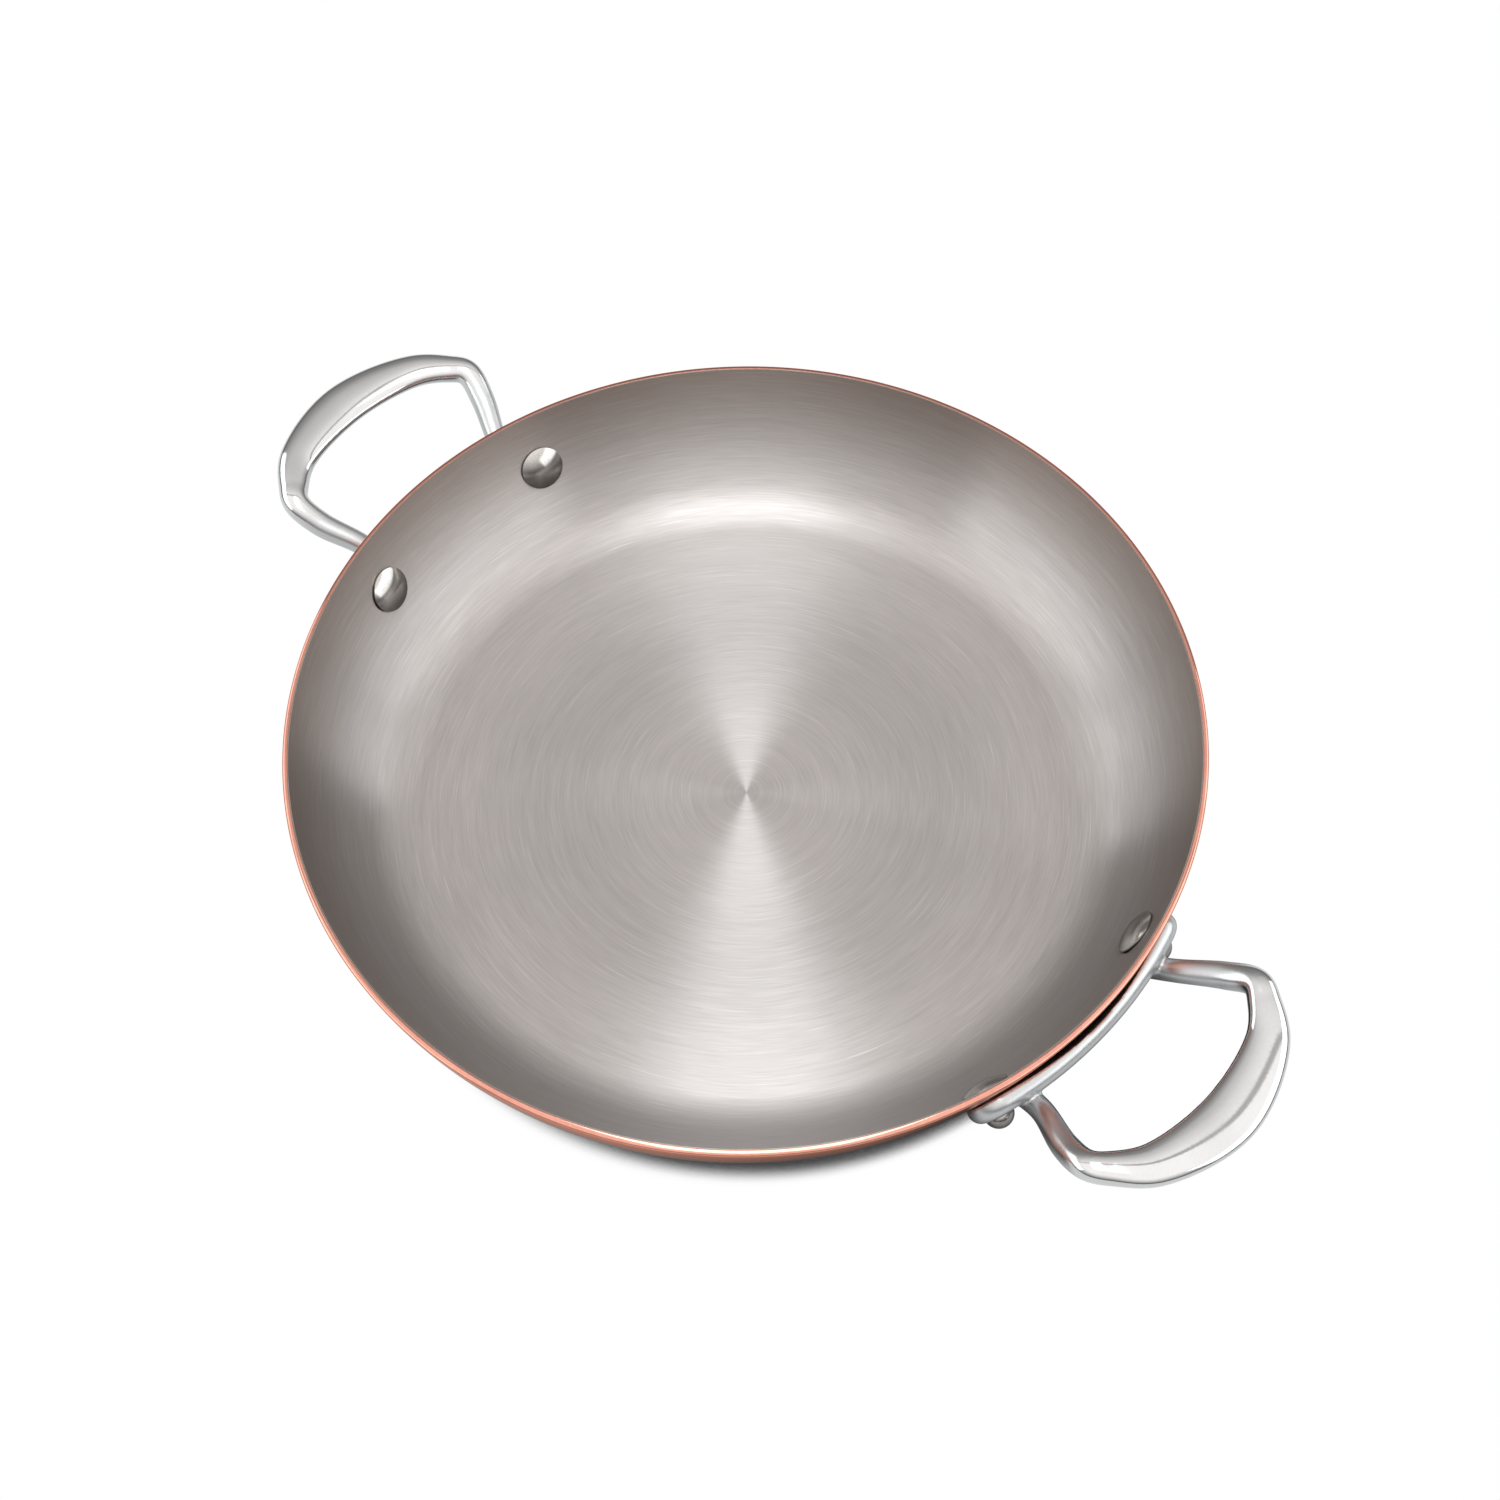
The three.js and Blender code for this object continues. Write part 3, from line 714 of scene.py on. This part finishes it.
def ring_brushed_steel():
    """Lining steel brushed in rings: short streaks round the pan, and highlights stretched across them.

    The streaks are noise on (x, y, way along the profile), each divided by a streak's length or width. They
    tint the metal, which also gets lighter and darker in wide rings, by a cosine of the distance from the
    axis. Towards the rim the wall gets painted shade, darker and warmer like light bounced off the copper.
    """
    material, nodes, links, shader = new_material("ring_brushed_steel")
    tree = material.node_tree
    uv = nodes.new("ShaderNodeUVMap")
    uv.uv_map = "along_and_around"
    along = nodes.new("ShaderNodeSeparateXYZ")
    links.new(uv.outputs["UV"], along.inputs[0])
    place = place_in_pan(tree)

    def streaks(length, width, detail):
        vector = nodes.new("ShaderNodeCombineXYZ")
        for axis in "XY":
            links.new(math_node(tree, "DIVIDE", place[axis], length), vector.inputs[axis])
        links.new(math_node(tree, "DIVIDE", along.outputs["X"], width), vector.inputs["Z"])
        texture = nodes.new("ShaderNodeTexNoise")
        links.new(vector.outputs[0], texture.inputs["Vector"])
        texture.inputs["Scale"].default_value = 1.0
        texture.inputs["Detail"].default_value = detail
        texture.inputs["Roughness"].default_value = STREAK_ROUGHNESS
        return texture.outputs["Fac"]

    bands = mapped(tree, streaks(**BANDS), *TONE_LIMITS, 0, 1)
    lines = mapped(tree, streaks(**LINES), *TONE_LIMITS, 0, 1)
    bright = mapped(tree, streaks(**SCRATCHES), *SCRATCH_LIMITS, 0, 1)
    band_tone = math_node(tree, "MULTIPLY", bands, 1 - LINE_SHARE)
    tone = math_node(tree, "MULTIPLY_ADD", lines, LINE_SHARE, band_tone)
    brushed = mixed_colour(tree, tone, LINING_DARK, LINING_LIGHT)
    scratch = math_node(tree, "MULTIPLY", bright, SCRATCH_SHARE)
    scratched = mixed_colour(tree, scratch, brushed, LINING_SCRATCH)
    # Painted shade: the wall darkens and warms from a height up to the rim
    up_wall = mapped(tree, place["Z"], RIM_PAINTED_SHADE_FROM, PAN_HEIGHT, 0.0, 1.0)
    rim_shaded = mixed_colour(tree, up_wall, scratched, LINING_RIM_PAINTED_SHADE, blend="MULTIPLY")
    past_first = math_node(tree, "SUBTRACT", from_axis(tree), LIGHT_RING_FIRST)
    turn = math_node(tree, "MULTIPLY", past_first, 2 * math.pi / LIGHT_RING_PITCH)
    wave = math_node(tree, "COSINE", turn)
    ring_tone = math_node(tree, "MULTIPLY_ADD", wave, LIGHT_RING_SHARE, 1.0)
    colour = mixed_colour(tree, 1.0, rim_shaded, ring_tone, blend="MULTIPLY")
    links.new(colour, shader.inputs["Base Color"])
    links.new(mapped(tree, tone, 0, 1, *LINING_ROUGHNESS), shader.inputs["Roughness"])
    links.new(bumped(tree, streaks(**GROOVES), 1.0, GROOVE_DEPTH), shader.inputs["Normal"])
    tangent = nodes.new("ShaderNodeTangent")
    tangent.direction_type = "UV_MAP"
    tangent.uv_map = "along_and_around"
    links.new(tangent.outputs[0], shader.inputs["Tangent"])
    shader.inputs["Metallic"].default_value = 1
    shader.inputs["Anisotropic"].default_value = 1.0
    return material


def studio_floor():
    """Pale floor: white to the camera and in reflections, with the pan's contact shadow, else matt.

    The shadow is the floor's openness to light from a little left of overhead. It is tight to the camera
    and reaches wider in reflections.
    """
    material, nodes, links, shader = new_material("pale_floor")
    tree = material.node_tree
    nodes.remove(shader)
    lean = nodes.new("ShaderNodeCombineXYZ")
    for socket, value in zip(lean.inputs, shadow_way):
        socket.default_value = value

    def lit(reach, openness):
        shade = nodes.new("ShaderNodeAmbientOcclusion")
        shade.samples = SHADOW_SAMPLES
        shade.inputs["Distance"].default_value = reach
        links.new(lean.outputs[0], shade.inputs["Normal"])
        return mapped(tree, shade.outputs["AO"], *openness, SHADOW_DARKEST, 1.0, "SMOOTHSTEP")

    tight = lit(CONTACT_REACH, CONTACT_OPENNESS)
    wide = lit(MIRRORED_REACH, MIRRORED_OPENNESS)
    path = nodes.new("ShaderNodeLightPath")
    difference = math_node(tree, "SUBTRACT", tight, wide)
    strength = math_node(tree, "MULTIPLY_ADD", difference, path.outputs["Is Camera Ray"], wide)
    either = math_node(tree, "MAXIMUM", path.outputs["Is Camera Ray"], path.outputs["Is Glossy Ray"])
    direct = math_node(tree, "MAXIMUM", either, path.outputs["Is Transmission Ray"])
    glow = nodes.new("ShaderNodeEmission")
    links.new(strength, glow.inputs["Strength"])
    matt = nodes.new("ShaderNodeBsdfDiffuse")
    matt.inputs["Color"].default_value = (*FLOOR_GREY, 1)
    mix = nodes.new("ShaderNodeMixShader")
    links.new(direct, mix.inputs[0])
    links.new(matt.outputs[0], mix.inputs[1])
    links.new(glow.outputs[0], mix.inputs[2])
    links.new(mix.outputs[0], nodes["Material Output"].inputs["Surface"])
    return material


def soft_lamp(name, turn, elevation, across, tall, glow, colour):
    """Rectangular lamp aimed at the pan, which looks evenly bright: its power is glow * pi * area.

    It stands at a turn from the camera's right and an elevation, with its width level.
    """
    lamp = bpy.data.lights.new(name, "AREA")
    lamp.shape = "RECTANGLE"
    lamp.size = across
    lamp.size_y = tall
    lamp.energy = glow * math.pi * across * tall
    lamp.color = colour
    level = math.cos(turn) * right_way + math.sin(turn) * back_way
    away = math.cos(elevation) * level + math.sin(elevation) * up_way
    width_way = up_way.cross(level)
    axes = Matrix((width_way, away.cross(width_way), away)).transposed()
    holder = in_scene(name, lamp)
    holder.matrix_world = Matrix.Translation(away * LAMP_DISTANCE) @ axes.to_4x4()


def studio_room():
    """World: white to the camera, and for reflections a soft room, dim low down and at the back.

    A dim gap crosses its ceiling from left to right.
    """
    world = bpy.data.worlds.new("studio_room")
    world.use_nodes = True
    bpy.context.scene.world = world
    tree = world.node_tree
    nodes, links = tree.nodes, tree.links
    way = nodes.new("ShaderNodeTexCoord").outputs["Generated"]

    def towards(direction):
        node = nodes.new("ShaderNodeVectorMath")
        node.operation = "DOT_PRODUCT"
        links.new(way, node.inputs[0])
        node.inputs[1].default_value = direction
        return node.outputs["Value"]

    height = towards(up_way)
    front = mapped(tree, height, *ROOM_RISE, ROOM_HORIZON, ROOM_DOME)
    back = mapped(tree, height, *ROOM_RISE, ROOM_HORIZON, ROOM_BACK)
    backwards = towards(back_way)
    share = mapped(tree, backwards, *ROOM_BACK_LIMITS, 0.0, 1.0)
    change = math_node(tree, "SUBTRACT", back, front)
    smooth_room = math_node(tree, "MULTIPLY_ADD", change, share, front)
    from_gap = math_node(tree, "ABSOLUTE", math_node(tree, "SUBTRACT", backwards, CEILING_GAP_AT))
    gap_limits = (CEILING_GAP_HALF, 2 * CEILING_GAP_HALF)
    gap = mapped(tree, from_gap, *gap_limits, CEILING_GAP_GLOW, 1.0, "SMOOTHSTEP")
    room = math_node(tree, "MULTIPLY", smooth_room, gap)
    path = nodes.new("ShaderNodeLightPath")
    shown = mixed_colour(tree, path.outputs["Is Camera Ray"], ROOM_COLOUR, (1, 1, 1))
    strength = nodes.new("ShaderNodeMix")
    links.new(path.outputs["Is Camera Ray"], strength.inputs["Factor"])
    links.new(room, strength.inputs["A"])
    strength.inputs["B"].default_value = 1.0
    links.new(shown, nodes["Background"].inputs["Color"])
    links.new(strength.outputs["Result"], nodes["Background"].inputs["Strength"])


def set_camera():
    """Camera at the photograph's place: turned about the rim's middle, aimed a little off it, and rolled."""
    rim_middle = Vector((0, 0, PAN_HEIGHT))
    away = math.sin(CAMERA_ELEVATION) * up_way - math.cos(CAMERA_ELEVATION) * back_way
    place = rim_middle + away * CAMERA_DISTANCE
    aim = rim_middle + right_way * AIM_RIGHT + away.cross(right_way) * AIM_UP
    forward = (aim - place).normalized()
    right = forward.cross(up_way).normalized()
    up = right.cross(forward)
    rolled_right = math.cos(CAMERA_ROLL) * right + math.sin(CAMERA_ROLL) * up
    rolled_up = math.cos(CAMERA_ROLL) * up - math.sin(CAMERA_ROLL) * right
    lens = bpy.data.cameras.new("camera")
    lens.lens = LENS
    lens.sensor_width = SENSOR
    camera = in_scene("camera", lens)
    turn = Matrix((rolled_right, rolled_up, -forward)).transposed()
    camera.matrix_world = Matrix.Translation(place) @ turn.to_4x4()
    bpy.context.scene.camera = camera


def dress(piece, node, material):
    """A finished piece: rides on the pan, stands for its solid and wears its material."""
    piece.data.materials.clear()
    piece.data.materials.append(material)
    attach(piece, "root")
    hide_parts(node)


metal = worked_metal_group()
copper = worked_metal(
    "polished_copper", metal,
    colours=[("Colour", (0.66, 0.32, 0.25)), ("Dull Colour", (0.54, 0.24, 0.18))],
    values=[("Patch Scale", 45), ("Grain Scale", 700), ("Smooth", 0.05), ("Rough", 0.11)],
    bump_strength=0.05, edge_tint=(0.9, 0.6, 0.5),
)
cast_steel = worked_metal(
    "polished_cast_steel", metal,
    colours=[("Colour", (0.61, 0.62, 0.625)), ("Dull Colour", (0.555, 0.565, 0.57))],
    values=[("Patch Scale", 70), ("Grain Scale", 1200), ("Smooth", 0.06), ("Rough", 0.12)],
    bump_strength=0.05, satin_and_painted_shade=(near_the_wall, SATIN_TINT, SATIN_ROUGHNESS),
)
# The rivet's heads get painted shade below their axis: darker, and a little rougher
rivet_steel = worked_metal(
    "satin_rivet_steel", metal,
    colours=[("Colour", (0.53, 0.515, 0.495)), ("Dull Colour", (0.40, 0.385, 0.37))],
    values=[("Patch Scale", 180), ("Grain Scale", 1500), ("Smooth", 0.12), ("Rough", 0.20)],
    bump_strength=0.08, satin_and_painted_shade=(painted_shade_low_on_rivet, RIVET_PAINTED_SHADE_TINT, RIVET_LOW_ROUGHNESS),
)

dress(copper_shell(), "copper_body", copper)
dress(steel_lining(), "steel_lining", ring_brushed_steel())
right_handle = cast_handle("right_cast_handle")
dress(turned_half_round(right_handle, "left_cast_handle"), "left_handle", cast_steel)
dress(right_handle, "right_handle", cast_steel)
for hand, half_turn in (("right", 0.0), ("left", math.pi)):
    for side in (-1, 1):
        angle = half_turn + side * rivet_angle
        where = "front" if math.sin(angle) < 0 else "rear"
        rivet = domed_rivet(f"{hand}_{where}_domed_rivet", angle)
        dress(rivet, f"{hand}_{where}_rivet", rivet_steel)

bpy.ops.mesh.primitive_plane_add(size=FLOOR_SIZE)
floor = bpy.context.object
floor.name = "pale_floor"
floor.data.materials.append(studio_floor())
soft_lamp("top_lamp", TOP_LAMP_TURN, TOP_LAMP_ELEVATION, TOP_LAMP_ACROSS, TOP_LAMP_TALL,
          TOP_LAMP_GLOW, TOP_LAMP_COLOUR)
for name, turn in SIDE_LAMP_TURNS.items():
    soft_lamp(name, turn, SIDE_LAMP_ELEVATION, SIDE_LAMP_ACROSS, SIDE_LAMP_TALL,
              SIDE_LAMP_GLOW, SIDE_LAMP_COLOUR)
studio_room()
set_camera()
bpy.context.scene.view_settings.view_transform = "Standard"
